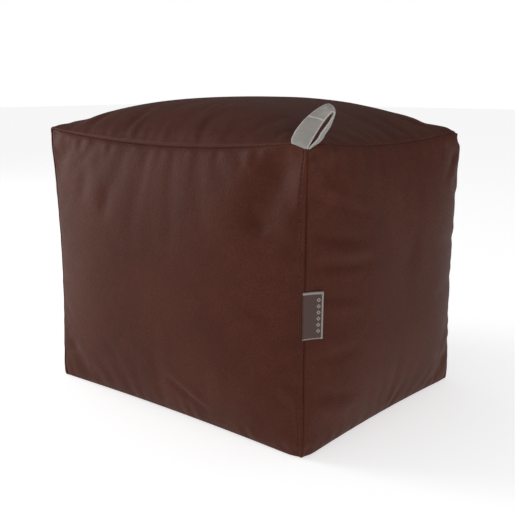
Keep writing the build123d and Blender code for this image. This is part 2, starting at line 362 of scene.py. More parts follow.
BULGE = {"top": 43 * MM, "front": 24 * MM, "right": 22 * MM, "back": 26 * MM, "left": 24 * MM,
         "base": 0.0}
# How squarely each panel fills out, along its first direction and along its second.
TOP_SQUARENESS, SIDE_SQUARENESS = (2.5, 6), (3, 2.6)


def swell(t, power):
    """1 in the middle of a panel and 0 at its seams: a higher power fills out more squarely."""
    return 1 - np.abs(t) ** power


def filled(panel, a, b, c, share=1.0):
    """Where the filling takes the point (a, b, c) of the flat box, with share of its full bulge."""
    bow_a, bow_b, bow_c = 1 - a * a, 1 - b * b, 4 * c * (1 - c)
    half_w = BASE_HALF_WIDTH + (HALF_WIDTH - BASE_HALF_WIDTH) * c + SEAM_ALLOWANCE
    half_d = BASE_HALF_DEPTH + (HALF_DEPTH - BASE_HALF_DEPTH) * c + SEAM_ALLOWANCE
    pull = TOP_SEAM_PULL * c + BASE_SEAM_PULL * (1 - c)
    lift = sum(z * (1 + x * a) * (1 + y * b) / 4 for (x, y), z in CORNER_LIFT.items())
    sag = np.where(b < 0, SEAM_SAG["front"], SEAM_SAG["back"]) * bow_a * b * b
    sag = sag + np.where(a > 0, SEAM_SAG["right"], SEAM_SAG["left"]) * bow_b * a * a
    x = a * (half_w - UPRIGHT_PULL * bow_c - pull * bow_b)
    y = b * (half_d - UPRIGHT_PULL * bow_c - pull * bow_a)
    z = c * (HEIGHT + lift - sag)
    push = BULGE[panel] * share
    middle = (UPRIGHT_PULL + (TOP_SEAM_PULL + BASE_SEAM_PULL) / 2) * share
    level = np.clip(2 * c - 1, -1, 1)
    across, upright = SIDE_SQUARENESS
    if panel == "top":
        z = z + push * swell(a, TOP_SQUARENESS[0]) * swell(b, TOP_SQUARENESS[1])
    elif panel in ("front", "back"):
        y = y + np.sign(b) * (push + middle) * swell(a, across) * swell(level, upright)
    elif panel in ("left", "right"):
        x = x + np.sign(a) * (push + middle) * swell(b, across) * swell(level, upright)
    return np.stack([x, y, z], axis=-1)


# Where a panel's own two directions, u and v from -1 to 1, lie on the flat box.
PANELS = {
    "top": lambda u, v: (u, v, np.ones_like(u)),
    "front": lambda u, v: (u, -np.ones_like(u), (v + 1) / 2),
    "right": lambda u, v: (np.ones_like(u), u, (v + 1) / 2),
    "back": lambda u, v: (-u, np.ones_like(u), (v + 1) / 2),
    "left": lambda u, v: (-np.ones_like(u), -u, (v + 1) / 2),
    "base": lambda u, v: (u, -v, np.zeros_like(u)),
}
SPAN = {
    "top": (2 * HALF_WIDTH, 2 * HALF_DEPTH), "base": (2 * BASE_HALF_WIDTH, 2 * BASE_HALF_DEPTH),
    "front": (2 * HALF_WIDTH, HEIGHT), "back": (2 * HALF_WIDTH, HEIGHT),
    "left": (2 * HALF_DEPTH, HEIGHT), "right": (2 * HALF_DEPTH, HEIGHT),
}
print("crown of the top", round(TOP_CROWN, 4), "of the sides", round(SIDE_CROWN, 4))

# %% [markdown]
# ## Cloth simulation of the sewn cover
# The six flat cuts are laid out as grids and sewn into a box. The cloth is a little too large for
# the shape it starts in, its seams are held, and air pressure stands in for the beads. The spare
# cloth then buckles into the soft dimples and puckers that a filled cover has. The grid keeps its
# rows, so each panel can be read back afterwards as a sheet of evenly spaced points.

# %% Sew the grids into one box
CELL = 11 * MM                         # side of one square of the grid
START_SHARE = 0.55                     # how much of its bulge the cover has before it is filled
SEWN_WITHIN = 0.05 * MM                # points of two panels that are this close become one


def sheet_grid(bm, points):
    """A grid from create_grid with its vertices moved to the points; returns them row by row."""
    across, along = points.shape[0] - 1, points.shape[1] - 1
    made = bmesh.ops.create_grid(bm, x_segments=across, y_segments=along, size=1.0)
    place = {}
    for vert in made["verts"]:
        i, j = round((vert.co.x + 1) / 2 * across), round((vert.co.y + 1) / 2 * along)
        place[i, j] = vert
    for (i, j), vert in place.items():
        vert.co = points[i, j]
    return place


def even_grid(columns, rows):
    return np.meshgrid(np.linspace(-1, 1, columns), np.linspace(-1, 1, rows), indexing="ij")


def steps(length):
    return max(4, round(length / CELL))


def sewn_box():
    """The whole cover as one mesh, and the points of each panel's grid."""
    bm = bmesh.new()
    grids = {}
    for name, (width, length) in SPAN.items():
        u, v = even_grid(steps(width) + 1, steps(length) + 1)
        grids[name] = filled(name, *PANELS[name](u, v), START_SHARE)
        sheet_grid(bm, grids[name])
    bmesh.ops.remove_doubles(bm, verts=bm.verts, dist=SEWN_WITHIN)
    return to_mesh("sewn_box", bm), grids


# %% Fill it
FRAMES = 26
CLOTH = {
    "quality": 5, "mass": 0.3, "tension_stiffness": 22, "compression_stiffness": 22, "shear_stiffness": 6,
    "bending_stiffness": 2.5, "air_damping": 3, "use_pressure": True, "uniform_pressure_force": 3.2,
    "shrink_min": -0.010,              # the cloth is 1 % larger than the shape that it starts in
}
SMOOTHINGS = 60                        # passes that take the dimples out, to find what they were
DETAIL_KEPT = 0.38


def inflate(mesh, grids):
    """Runs the cloth with its seams held, and reads each panel back as a grid of points."""
    cover = add_object("sewn_box", mesh)
    tree = KDTree(len(mesh.vertices))
    for vertex in mesh.vertices:
        tree.insert(vertex.co, vertex.index)
    tree.balance()
    index = {}
    for name, points in grids.items():
        flat = points.reshape(-1, 3)
        index[name] = np.array([tree.find(p)[1] for p in flat]).reshape(points.shape[:2])
    held = set(index["base"].ravel().tolist())
    for rim in index.values():
        for line in (rim[0], rim[-1], rim[:, 0], rim[:, -1]):
            held.update(line.tolist())
    pins = cover.vertex_groups.new(name="seams")
    pins.add(sorted(held), 1.0, "REPLACE")
    cloth = cover.modifiers.new("cloth", "CLOTH")
    cloth.settings.vertex_group_mass = "seams"
    for setting, value in CLOTH.items():
        setattr(cloth.settings, setting, value)
    cloth.settings.effector_weights.gravity = 0
    cloth.collision_settings.use_collision = False
    cloth.point_cache.frame_start, cloth.point_cache.frame_end = 1, FRAMES
    scene = bpy.context.scene
    scene.frame_start, scene.frame_end = 1, FRAMES
    for number in range(1, FRAMES + 1):
        scene.frame_set(number)
    shaped = cover.evaluated_get(bpy.context.evaluated_depsgraph_get())
    points = np.zeros(len(mesh.vertices) * 3)
    shaped.data.vertices.foreach_get("co", points)
    points = points.reshape(-1, 3)
    scene.frame_set(1)
    bpy.data.objects.remove(cover)
    return {name: points[index[name]] for name in index}


def settle(name, simulated):
    """Keeps the simulation's dimples and brings the whole panel to the bulge it should have."""
    smooth = simulated.copy()
    for _ in range(SMOOTHINGS):
        inner = (smooth[2:, 1:-1] + smooth[:-2, 1:-1] + smooth[1:-1, 2:] + smooth[1:-1, :-2]) / 4
        smooth[1:-1, 1:-1] = inner
    return full_bulge(name, simulated) + (simulated - smooth) * DETAIL_KEPT


def full_bulge(name, points):
    return filled(name, *PANELS[name](*even_grid(*points.shape[:2])))


mesh, grids = sewn_box()
simulated = inflate(mesh, grids)
for name, points in simulated.items():
    moved = np.linalg.norm(points - grids[name], axis=-1).max()
    print(name, "moved by up to", round(float(moved) / MM, 1), "mm")
surface = {name: settle(name, points) for name, points in simulated.items()}
surface["base"] = grids["base"]

# %% [markdown]
# ## Reading the surface at any point
# The finished panels need rows less than a millimetre apart beside a seam, where the leather folds
# over, and only every few millimetres in the middle. `read_surface` looks the simulated grid up
# between its points with a cubic curve, first along one direction and then along the other.


# %% Cubic look-up
def cubic(points, at):
    """Values along the first axis of points, looked up at fractional places with a cubic curve."""
    last = points.shape[0] - 1
    first = np.clip(np.floor(at).astype(int), 0, last - 1)
    t = (at - first)[:, None, None]
    before = points[np.maximum(first - 1, 0)] + (first == 0)[:, None, None] * (points[0] - points[1])
    here, there = points[first], points[first + 1]
    far = np.minimum(first + 2, last)
    after = points[far] + (first + 2 > last)[:, None, None] * (points[last] - points[last - 1])
    slope_in, slope_out = (there - before) / 2, (after - here) / 2
    rise = there - here
    square, cube = 3 * rise - 2 * slope_in - slope_out, slope_in + slope_out - 2 * rise
    return here + slope_in * t + square * t ** 2 + cube * t ** 3


def read_surface(name, u_lines, v_lines):
    points = surface[name]
    across = cubic(points, (u_lines + 1) / 2 * (points.shape[0] - 1))
    along = cubic(across.transpose(1, 0, 2), (v_lines + 1) / 2 * (points.shape[1] - 1))
    return along.transpose(1, 0, 2)


BESIDE_SEAM = (0, 0.7, 1.4, 2.2, 3.2, 4.4, 5.6, 6.3, 6.9, 7.5, 8.2, 9.6, 11.5, 14, 17)
PANEL_SPACING = 4.2 * MM


def seam_lines(length, near_seam, rows):
    """Places from -1 to 1 across a panel: close rows beside both seams, even ones between."""
    near = np.array(near_seam) * MM
    inner = np.linspace(near[-1], length - near[-1], rows)[1:-1]
    return np.concatenate([near, inner, length - near[::-1]]) / length * 2 - 1


def panel_lines(length):
    between = length - 2 * BESIDE_SEAM[-1] * MM
    return seam_lines(length, BESIDE_SEAM, round(between / PANEL_SPACING) + 1)


# %% [markdown]
# ## Seams, welts and creases
# At every seam both panels turn inwards over a few millimetres. The upright seams are lapped: the
# allowance lies under the front and back panels as a raised welt 7 mm wide, held by a row of
# topstitching. The top seam is a plain one, and its turned edge stands up as a thin ridge.


# %% Wandering lines and seam profiles
def wander(s, lengths, seed):
    """A smooth wavy line along s, made of a few waves with the given lengths."""
    random = np.random.default_rng(seed)
    total = np.zeros_like(s)
    for length in lengths:
        total = total + np.sin(2 * math.pi * s / length + random.uniform(0, 2 * math.pi))
    return total / math.sqrt(len(lengths))


def hump(d, middle, width):
    return np.exp(-((d - middle) / width) ** 2)


def ridge(d, peak):
    """0 at the seam, 1 at a distance of peak from it, and 0 again further on."""
    square = (d / peak) ** 2
    return square * np.exp(1 - square)


def plateau(d, start, end, soft):
    rise = np.clip((d - start) / soft, -30, 30)
    fall = np.clip((d - end) / soft, -30, 30)
    return 1 / (1 + np.exp(-rise)) / (1 + np.exp(fall))


# %% Sizes of the seams
ROUND_DEPTH, ROUND_WIDTH = 1.5 * MM, 7 * MM      # how far an edge is rounded over, and over what width
GROOVE_DEPTH, GROOVE_WIDTH = 1.2 * MM, 1.3 * MM  # the sharp valley in the seam itself
FLOOR_ROUNDING = 1.5                             # the base seams are rounder than the others
FLOOR_LIFT = 0.25                                # the weight of the beads presses them down again
WELT_HEIGHT, WELT_WIDTH = 1.0 * MM, 7 * MM
STITCH_DEPTH = 0.8 * MM
RIDGE_HEIGHT, RIDGE_PLACE = 0.5 * MM, 2.6 * MM
PUCKER_HEIGHT, LAPPED_PUCKER_HEIGHT = 0.5 * MM, 0.34 * MM
PUCKER_PLACE, PUCKER_REACH = 6 * MM, 16 * MM


def rounding(a, b, c):
    """How the twelve seams draw a point of the cover in. It depends on nothing but the point's
    place on the flat box, so two panels always agree about the edge that they share."""
    gap_a = {s: (1 - s * a) * HALF_WIDTH for s in (-1, 1)}
    gap_b = {s: (1 - s * b) * HALF_DEPTH for s in (-1, 1)}
    gap_c = {-1: c * HEIGHT, 1: (1 - c) * HEIGHT}
    gaps = (gap_a, gap_b, gap_c)
    depths = {(axis, s): np.zeros(a.shape) for axis in range(3) for s in (-1, 1)}
    for first, second in ((0, 1), (0, 2), (1, 2)):
        for s in (-1, 1):
            for t in (-1, 1):
                d = np.hypot(gaps[first][s], gaps[second][t])
                grow = FLOOR_ROUNDING if second == 2 and t == -1 else 1.0
                depth = ROUND_DEPTH * grow * np.exp(-(d / (ROUND_WIDTH * grow)) ** 1.5)
                depth = depth + GROOVE_DEPTH * np.exp(-(d / GROOVE_WIDTH) ** 2)
                for key in ((first, s), (second, t)):
                    depths[key] = np.maximum(depths[key], depth)
    depths[2, -1] = depths[2, -1] * FLOOR_LIFT
    return np.stack([depths[axis, -1] - depths[axis, 1] for axis in range(3)], axis=-1)


def seam_distances(name, u, v):
    """Distance from each point to the panel's four seams, in metres along the cloth."""
    width, length = SPAN[name]
    return {"u-": (1 + u) / 2 * width, "u+": (1 - u) / 2 * width,
            "v-": (1 + v) / 2 * length, "v+": (1 - v) / 2 * length}


def relief(name, u, v):
    """Height of the welt, the stitch line and the ridge over the panel, along its normal."""
    far = seam_distances(name, u, v)
    height = np.zeros_like(u)
    if name in ("front", "back"):
        for key in ("u-", "u+"):
            d = far[key]
            along = v * HEIGHT / 2
            edge = WELT_WIDTH + 0.25 * MM * wander(along, (0.031, 0.083), 5)
            height += WELT_HEIGHT * plateau(d, 1.6 * MM, edge - 0.8 * MM, 0.35 * MM)
            pulled = STITCH_DEPTH * (1 + 0.35 * wander(along, (0.0068, 0.0113), 7))
            height -= pulled * hump(d, edge + 0.1 * MM, 0.9 * MM)
            height += 0.25 * MM * hump(d, edge + 3.2 * MM, 2.2 * MM)
    if name == "top":
        nearest = np.minimum.reduce(list(far.values()))
        height += RIDGE_HEIGHT * ridge(nearest, RIDGE_PLACE)
    elif name != "base":
        height -= RIDGE_HEIGHT * ridge(far["v+"], RIDGE_PLACE)
    return height


def puckers(name, u, v):
    """Short waves that run into the seams, where the thread draws the leather up."""
    far = seam_distances(name, u, v)
    width, length = SPAN[name]
    number = sorted(SPAN).index(name) * 10
    height = np.zeros_like(u)
    for k, (key, d) in enumerate(far.items()):
        s = (v * length if key[0] == "u" else u * width) / 2
        waves = wander(s, (0.021, 0.034, 0.055), number + k)
        reach = PUCKER_REACH * (1 + 0.5 * wander(s, (0.09, 0.13), number + k + 50))
        lapped = name in ("front", "back") and key[0] == "u"
        tall = LAPPED_PUCKER_HEIGHT if lapped else PUCKER_HEIGHT
        height += tall * waves * hump(d, PUCKER_PLACE, np.maximum(reach, PUCKER_REACH / 2))
    return height


# %% [markdown]
# ## The creases that this seat has
# A filled cover also keeps a few longer folds, where it was squashed or where a corner drags on
# the cloth. Each is a line on the panel with a depth and a width. The fold has a valley and, on
# one side, a low ridge of the cloth that was pushed out of it.

# %% Crease lines, in millimetres on each panel
# x or y from the middle of the panel, then height over the floor or distance over the top.
# start, end, depth, half width, side of the ridge.
CREASES = {
    "front": [
        ((240, 394), (156, 276), 9.5, 30, 1), ((200, 296), (168, 304), 2.6, 9, -1),
        ((206, 190), (168, 182), 2.6, 9, 1), ((232, 284), (196, 276), 1.8, 7, 1),
        ((20, 66), (92, 22), 2.4, 6, 1), ((-159, 356), (-152, 296), 1.7, 13, 1),
        ((-102, 336), (-96, 284), 1.5, 12, -1), ((-238, 372), (-206, 352), 1.6, 5, 1),
        ((-240, 350), (-214, 322), 1.3, 5, -1), ((-236, 392), (-196, 384), 1.4, 5, 1),
        ((236, 130), (205, 120), 1.4, 7, 1), ((238, 60), (196, 84), 1.6, 8, -1),
        ((-240, 40), (-196, 70), 1.8, 8, 1),
    ],
    "right": [
        ((-190, 392), (-128, 330), 3.2, 9, -1), ((-192, 336), (-76, 302), 2.2, 7, 1),
        ((-194, 292), (-84, 276), 2.2, 7, -1), ((-194, 254), (-72, 246), 3.6, 7, 1),
        ((-194, 219), (-100, 198), 2.4, 7, -1), ((-192, 128), (-96, 132), 2.2, 8, 1),
        ((-190, 80), (-90, 72), 2.8, 9, -1), ((180, 376), (120, 330), 2.0, 9, 1),
        ((34, 268), (-14, 230), 1.1, 18, 1), ((186, 40), (120, 66), 2.0, 10, -1),
        ((18, 6), (28, 44), 2.2, 8, 1),
    ],
    "back": [
        ((228, 380), (150, 300), 2.8, 10, 1), ((-232, 376), (-160, 310), 2.4, 10, -1),
        ((-180, 60), (-110, 40), 2.0, 8, 1), ((60, 80), (130, 30), 2.2, 8, -1),
        ((236, 200), (160, 212), 2.0, 8, 1), ((-236, 180), (-170, 168), 2.2, 8, 1),
    ],
    "left": [
        ((186, 380), (120, 316), 2.6, 9, 1), ((-186, 370), (-120, 300), 2.4, 9, -1),
        ((188, 150), (110, 142), 2.2, 8, 1), ((-188, 90), (-100, 84), 2.4, 8, 1),
        ((60, 30), (120, 60), 2.0, 8, -1),
    ],
    "top": [
        ((-236, -120), (-176, -96), 2.0, 8, 1), ((-238, -40), (-170, -30), 1.8, 8, -1),
        ((-180, -188), (-150, -140), 2.0, 8, 1), ((-90, -190), (-76, -150), 1.6, 7, -1),
        ((226, -176), (176, -128), 2.4, 9, 1), ((238, 60), (180, 52), 1.8, 8, 1),
        ((236, 130), (176, 100), 1.8, 8, -1), ((60, -190), (64, -150), 1.4, 7, 1),
        ((180, 186), (150, 140), 1.8, 8, 1), ((-220, 180), (-160, 130), 2.0, 9, 1),
    ],
    "base": [],
}


def creases(name, u, v):
    width, length = SPAN[name]
    flip = -1 if name in ("back", "left") else 1
    x = u * width / 2 * flip / MM
    y = (v * length / 2 if name == "top" else (v + 1) / 2 * length) / MM
    height = np.zeros_like(u)
    for (x0, y0), (x1, y1), depth, half, side in CREASES[name]:
        reach = math.hypot(x1 - x0, y1 - y0)
        along = ((x - x0) * (x1 - x0) + (y - y0) * (y1 - y0)) / reach
        across = ((y - y0) * (x1 - x0) - (x - x0) * (y1 - y0)) / reach
        across = across + 2.5 * np.sin(along / reach * 3.4 + x0) * half / 8
        share = np.clip(along / reach, -0.35, 1.3)
        taper = plateau(share, 0.06, 0.8, 0.07)
        fold = -hump(across, 0, half) + 0.55 * hump(across, side * 1.9 * half, 1.3 * half)
        height += depth * MM * fold * taper
    return height


# %% [markdown]
# ## The panels of the cover
# Each panel is a grid from `create_grid`, with its points moved to the surface that was just
# worked out, and then given the thickness of the leather by a Solidify modifier. Its UV map keeps
# the flat cut in metres. Each one replaces the plain CAD panel of the same name.


# %% Panels
HELD_BY_SEAM = 5 * MM                  # creases and puckers fade out over the last few millimetres


def normals_of(points):
    along_u = np.gradient(points, axis=0)
    along_v = np.gradient(points, axis=1)
    normal = np.cross(along_u, along_v)
    return normal / np.maximum(np.linalg.norm(normal, axis=-1, keepdims=True), 1e-12)


def nearness(points, place, reach):
    """1 at the place, and down to nothing at a few times the reach from it."""
    return hump(np.linalg.norm(points - np.array(place), axis=-1), 0, reach)


def soft_places(points):
    """Moves that depend only on where a point is, so that they never open a seam."""
    points = points.copy()
    for (x, y), depth in CORNER_DIP.items():
        corner = (x * HALF_WIDTH, y * HALF_DEPTH, HEIGHT)
        foot = (x * BASE_HALF_WIDTH, y * BASE_HALF_DEPTH, 0.0)
        near = nearness(points, corner, CORNER_REACH)
        points[..., 2] -= depth * nearness(points, corner, DIP_REACH)
        draw = CORNER_DRAW[x, y] * near + FOOT_DRAW[x, y] * nearness(points, foot, CORNER_REACH)
        points = points - draw[..., None] * np.array([x, y, 0.0])
    return points


def panel_points(name, u_lines, v_lines):
    u, v = np.meshgrid(u_lines, v_lines, indexing="ij")
    points = read_surface(name, u_lines, v_lines)
    normal = normals_of(points)
    nearest = np.minimum.reduce(list(seam_distances(name, u, v).values()))
    inner = 1 - hump(nearest, 0, HELD_BY_SEAM)
    height = relief(name, u, v) + (puckers(name, u, v) + creases(name, u, v)) * inner
    points = soft_places(points + normal * height[..., None] + rounding(*PANELS[name](u, v)))
    points[..., 2] = np.maximum(points[..., 2], 0.0)
    return points


def thicken(piece, thickness, offset=-1):
    wall = piece.modifiers.new("thickness", "SOLIDIFY")
    wall.thickness, wall.offset = thickness, offset
    return wall


def grid_piece(name, points, cut, material):
    """A mesh object from a grid of points, with its flat cut as a UV map."""
    bm = bmesh.new()
    place = sheet_grid(bm, points)
    layer = bm.loops.layers.uv.new("cut")
    flat = {vert: cut[spot] for spot, vert in place.items()}
    for face in bm.faces:
        face.smooth = True
        for loop in face.loops:
            loop[layer].uv = flat[loop.vert]
    return add_object(name, to_mesh(name, bm, material))


def flat_cut(name, u_lines, v_lines):
    width, length = SPAN[name]
    u, v = np.meshgrid(u_lines * width / 2, v_lines * length / 2, indexing="ij")
    return np.stack([u, v], axis=-1)


LEATHER_THICKNESS = 1.2 * MM


def leather_panel(name, points, cut, cad_panel):
    """One cut of leather, sewn into the cover in the place of the CAD panel."""
    piece = grid_piece(name, points, cut, LEATHER)
    thicken(piece, LEATHER_THICKNESS)
    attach(piece, "cover")
    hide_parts(cad_panel)
    print(name, "points", points.shape[0] * points.shape[1])


for name in ("top", "front", "right", "back", "left"):
    u_lines, v_lines = [panel_lines(length) for length in SPAN[name]]
    points = panel_points(name, u_lines, v_lines)
    leather_panel("cover_" + name, points, flat_cut(name, u_lines, v_lines), name + "_panel")

# %% [markdown]
# ## The base and the recess of the zip
# Under the seat the base is cut in two, and a facing strip rises from each half, so that the zip
# between them stays clear of the floor. All four are made as grids whose rows run from one edge of
# the cut to the other. The rows are short beside the recess and long at the two ends.

# %% Lines of the base
facing_low, facing_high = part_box("zip_facing_front")
POCKET_HALF_LENGTH, POCKET_HALF_WIDTH = facing_high[0], -facing_low[1]
POCKET_ROOF = facing_high[2] - LEATHER_THICKNESS
POCKET_SLOPE = 5 * MM
SLOT_HALF_LENGTH, SLOT_HALF_WIDTH = 175 * MM, 5.5 * MM
CLOSED_END = 185 * MM                  # one more row between the slot and the end of the recess
BASE_MID_WIDTH = BASE_HALF_WIDTH + SEAM_ALLOWANCE - BASE_SEAM_PULL
STEP = 0.05 * MM                       # how short the jump is where an edge turns a corner
BASE_WAVES, BASE_WAVE_PLACE = 0.4 * MM, 12 * MM


def both_ways(lines):
    return [side * line for line in lines for side in (-1, 1)]


def base_lines():
    """Places from -1 to 1 along the base, close at its ends and doubled where the recess starts."""
    ends = both_ways([1, 0.996, 0.992, 0.985, 0.975])
    jump = POCKET_HALF_LENGTH / BASE_MID_WIDTH
    jumps = both_ways([jump - 0.0002, jump + 0.0002])
    return np.array(sorted([*ends, *np.linspace(-0.965, 0.965, 110), *jumps]))


def base_half(side):
    """One half of the base: its outer edges bow like the seams, its inner edge is the mouth."""
    shares = np.concatenate([[0, 0.008, 0.016, 0.03, 0.05], np.linspace(0.08, 1, 34)])
    a, share = np.meshgrid(base_lines(), shares, indexing="ij")
    x_mouth = a * BASE_MID_WIDTH
    mouth = np.where(np.abs(x_mouth) < POCKET_HALF_LENGTH, POCKET_HALF_WIDTH, 0.0)
    b_mouth = mouth / (BASE_HALF_DEPTH + SEAM_ALLOWANCE - BASE_SEAM_PULL * (1 - a * a))
    b = side * (1 - share + b_mouth * share)
    points = filled("base", a, b, np.zeros_like(a))
    waves = BASE_WAVES * (1 + wander(points[..., 0] + points[..., 1], (0.06, 0.11), 91))
    rim = np.minimum((1 - np.abs(a)) * BASE_HALF_WIDTH, (1 - np.abs(b)) * BASE_HALF_DEPTH)
    points[..., 2] += waves * ridge(rim, BASE_WAVE_PLACE)
    points = soft_places(points + rounding(a, b, np.zeros_like(a)))
    points[..., 2] = np.maximum(points[..., 2], 0.0)
    return points


def pocket_height(x, y):
    """The recess: it slopes up from its mouth over a few millimetres, with a rounded lip."""
    rise = np.minimum((POCKET_HALF_LENGTH - x) / POCKET_SLOPE, (POCKET_HALF_WIDTH - y) / POCKET_SLOPE)
    rise = np.clip(rise, 0, 1)
    return POCKET_ROOF * rise * rise * (3 - 2 * rise)


def facing(side):
    """The strip from the mouth of the recess up to the slot that the zip lies in."""
    ends = POCKET_HALF_LENGTH - np.array([0, 1, 2, 3, 4, 5, 7, 12]) * MM
    middle = np.linspace(-SLOT_HALF_LENGTH + 2 * MM, SLOT_HALF_LENGTH - 2 * MM, 90)
    turns = [*ends, SLOT_HALF_LENGTH - STEP, SLOT_HALF_LENGTH + STEP, CLOSED_END]
    shares = [0, 0.055, 0.11, 0.165, 0.22, 0.28, 0.34, 0.45, 0.56, 0.7, 0.84, 1.0]
    x, share = np.meshgrid(sorted([*both_ways(turns), *middle]), shares, indexing="ij")
    inner = np.where(np.abs(x) < SLOT_HALF_LENGTH, SLOT_HALF_WIDTH, 0.0)
    y = side * (POCKET_HALF_WIDTH * (1 - share) + inner * share)
    return np.stack([x, y, pocket_height(np.abs(x), np.abs(y))], axis=-1)


# %% Base halves and facings
for side, end in ((-1, "front"), (1, "rear")):
    half, strip = base_half(side)[:, ::side], facing(side)[:, ::side]
    leather_panel("cover_base_" + end, half, half[..., :2],
                  "base_panel_" + end)
    leather_panel("zip_facing_cloth_" + end, strip, strip[..., :2],
                  "zip_facing_" + end)

# %% [markdown]
# ## The liner and the beads
# The beads are sewn into a bag of thin woven cloth of their own, so that the cover can be taken
# off. The liner follows the cover a few millimetres inside it: the same rows of points are read
# again, further apart, sewn into one box, and moved in along their normals. The bead filling is
# one closed mass inside the liner, with the grains in its material.


# %% Finishes of the liner and the beads
def liner_cloth():
    s = Shader("liner_cloth", Specular_IOR_Level=0.2, Sheen_Weight=0.15)
    x, y, z = s.axes(s.place())
    threads = ((x + y) * 4200.0).sine() * 0.5 + ((z + y - x) * 4200.0).sine() * 0.5
    worn = s.noise(s.place(), 26.0, 4.0)
    colour = s.blend(worn.between(0.3, 0.7), linear(214, 211, 203), linear(232, 230, 224))
    s.set(Base_Color=colour, Roughness=0.82 + worn * 0.1, Normal=s.bump(threads, 0.00012, 0.6))
    return s.material


def bead_finish():
    s = Shader("beads", Specular_IOR_Level=0.35)
    place = s.place()
    bead = s.cells(place, 230.0)
    tint = s.cells(place, 230.0, output="Color")
    shade = s.axes(tint)[0]
    # Painted shade: each bead is pale at its middle and painted grey towards its rim, where the beads meet.
    colour = s.blend(bead.between(0.25, 0.75), linear(245, 245, 243), linear(190, 190, 188))
    colour = s.blend(shade * 0.25, colour, linear(220, 222, 226))
    s.set(Base_Color=colour, Roughness=0.55 + shade * 0.15, Normal=s.bump(1 - bead * bead * 2, 0.0018, 0.8))
    return s.material


LINER_FINISH, BEAD_FINISH = liner_cloth(), bead_finish()


# %% The liner and the bead mass
INNER_SPACING = 9 * MM
INNER_SEWN_WITHIN = 0.3 * MM
LINER_GAP, LINER_WALL = 3.2 * MM, 0.4 * MM
BEAD_GAP = LINER_GAP + 2 * LINER_WALL + 0.6 * MM


def inner_lines(length):
    return seam_lines(length, (0, 4, 9), round(length / INNER_SPACING))


def inner_bag(name, gap, kept, material):
    """A closed box of the cover's own points, moved in by gap, of which the kept panels stay."""
    bm = bmesh.new()
    tag = bm.faces.layers.int.new("panel")
    for number, (panel, (width, length)) in enumerate(SPAN.items()):
        old = set(bm.faces)
        sheet_grid(bm, panel_points(panel, inner_lines(width), inner_lines(length)))
        for face in set(bm.faces) - old:
            face[tag] = number
    bmesh.ops.remove_doubles(bm, verts=bm.verts, dist=INNER_SEWN_WITHIN)
    bmesh.ops.recalc_face_normals(bm, faces=bm.faces)
    bm.normal_update()
    moves = {vert: vert.normal * vert.calc_shell_factor() * gap for vert in bm.verts}
    for vert, move in moves.items():
        vert.co -= move
        over = pocket_height(max(abs(vert.co.x) - gap, 0), max(abs(vert.co.y) - gap, 0))
        vert.co.z = max(vert.co.z, float(over) * (POCKET_ROOF + gap) / POCKET_ROOF, gap * 0.6)
    numbers = [number for number, panel in enumerate(SPAN) if panel in kept]
    spare = [face for face in bm.faces if face[tag] not in numbers]
    if spare:
        bmesh.ops.delete(bm, geom=spare, context="FACES")
    for face in bm.faces:
        face.smooth = True
    piece = add_object(name, to_mesh(name, bm, material))
    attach(piece, "cover")
    print(name, "faces", len(piece.data.polygons))
    return piece


width, depth = SPAN["top"]
tub = inner_bag("liner_bag", LINER_GAP, ("front", "right", "back", "left", "base"), LINER_FINISH)
thicken(tub, LINER_WALL)
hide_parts("liner_tub")
width + 2 * HEIGHT
depth + 2 * HEIGHT
width * depth + 2 * HEIGHT * (width + depth)
lid = inner_bag("liner_top", LINER_GAP, ("top",), LINER_FINISH)
thicken(lid, LINER_WALL)
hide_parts("liner_lid")
beads = inner_bag("bead_mass", BEAD_GAP, tuple(SPAN), BEAD_FINISH)
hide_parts("bead_fill")


# %% [markdown]
# ## Topstitching
# The lapped seams are held by a row of stitches 7 mm from each upright edge. From outside each
# stitch is a short rounded length of thread that dives into the leather at both ends. One small
# ball with a few faces is stretched and laid along the welt again and again, one for each stitch.


# %% Thread
def thread_finish():
    s = Shader("thread", Specular_IOR_Level=0.3, Sheen_Weight=0.3)
    x, y, z = s.axes(s.place())
    twist = (z * 9000.0 + (x + y) * 5200.0).sine()
    fibre = s.noise(s.place(), 2400.0, 3.0)
    colour = s.blend(fibre, linear(70, 38, 30), linear(112, 68, 55))
    s.set(Base_Color=colour, Roughness=0.62 + fibre * 0.15, Normal=s.bump(twist + fibre, 0.00008, 0.7))
    return s.material


THREAD = thread_finish()
STITCH_PITCH, STITCH_LENGTH = 3.4 * MM, 2.9 * MM
STITCH_WIDTH, STITCH_THICKNESS, STITCH_RISE = 0.8 * MM, 0.62 * MM, 0.14 * MM
STITCH_LINE = WELT_WIDTH + 0.1 * MM


def stitch_row(bm, panel, at_right):
    """Stitches up one upright seam of a panel, laid in the valley beside its welt."""
    width, length = SPAN[panel]
    count = int((length - 8 * MM) / STITCH_PITCH)
    middles = np.linspace(-1 + 8 * MM / length, 1 - 10 * MM / length, count)
    across = (STITCH_LINE + np.array([0.7, 0, -0.7]) * MM) / width * 2
    points = panel_points(panel, 1 - across if at_right else -1 + across[::-1], middles)
    for i in range(1, count - 1):
        along = Vector(points[1, i + 1] - points[1, i - 1]).normalized()
        over = Vector(points[2, i] - points[0, i]).normalized()
        out = over.cross(along).normalized()
        shape = Matrix((over * STITCH_WIDTH, out * STITCH_THICKNESS, along * STITCH_LENGTH)).transposed()
        spot = Matrix.Translation(Vector(points[1, i]) + out * STITCH_RISE) @ shape.to_4x4()
        bmesh.ops.create_uvsphere(bm, u_segments=6, v_segments=6, radius=0.5, matrix=spot)
    return count - 2


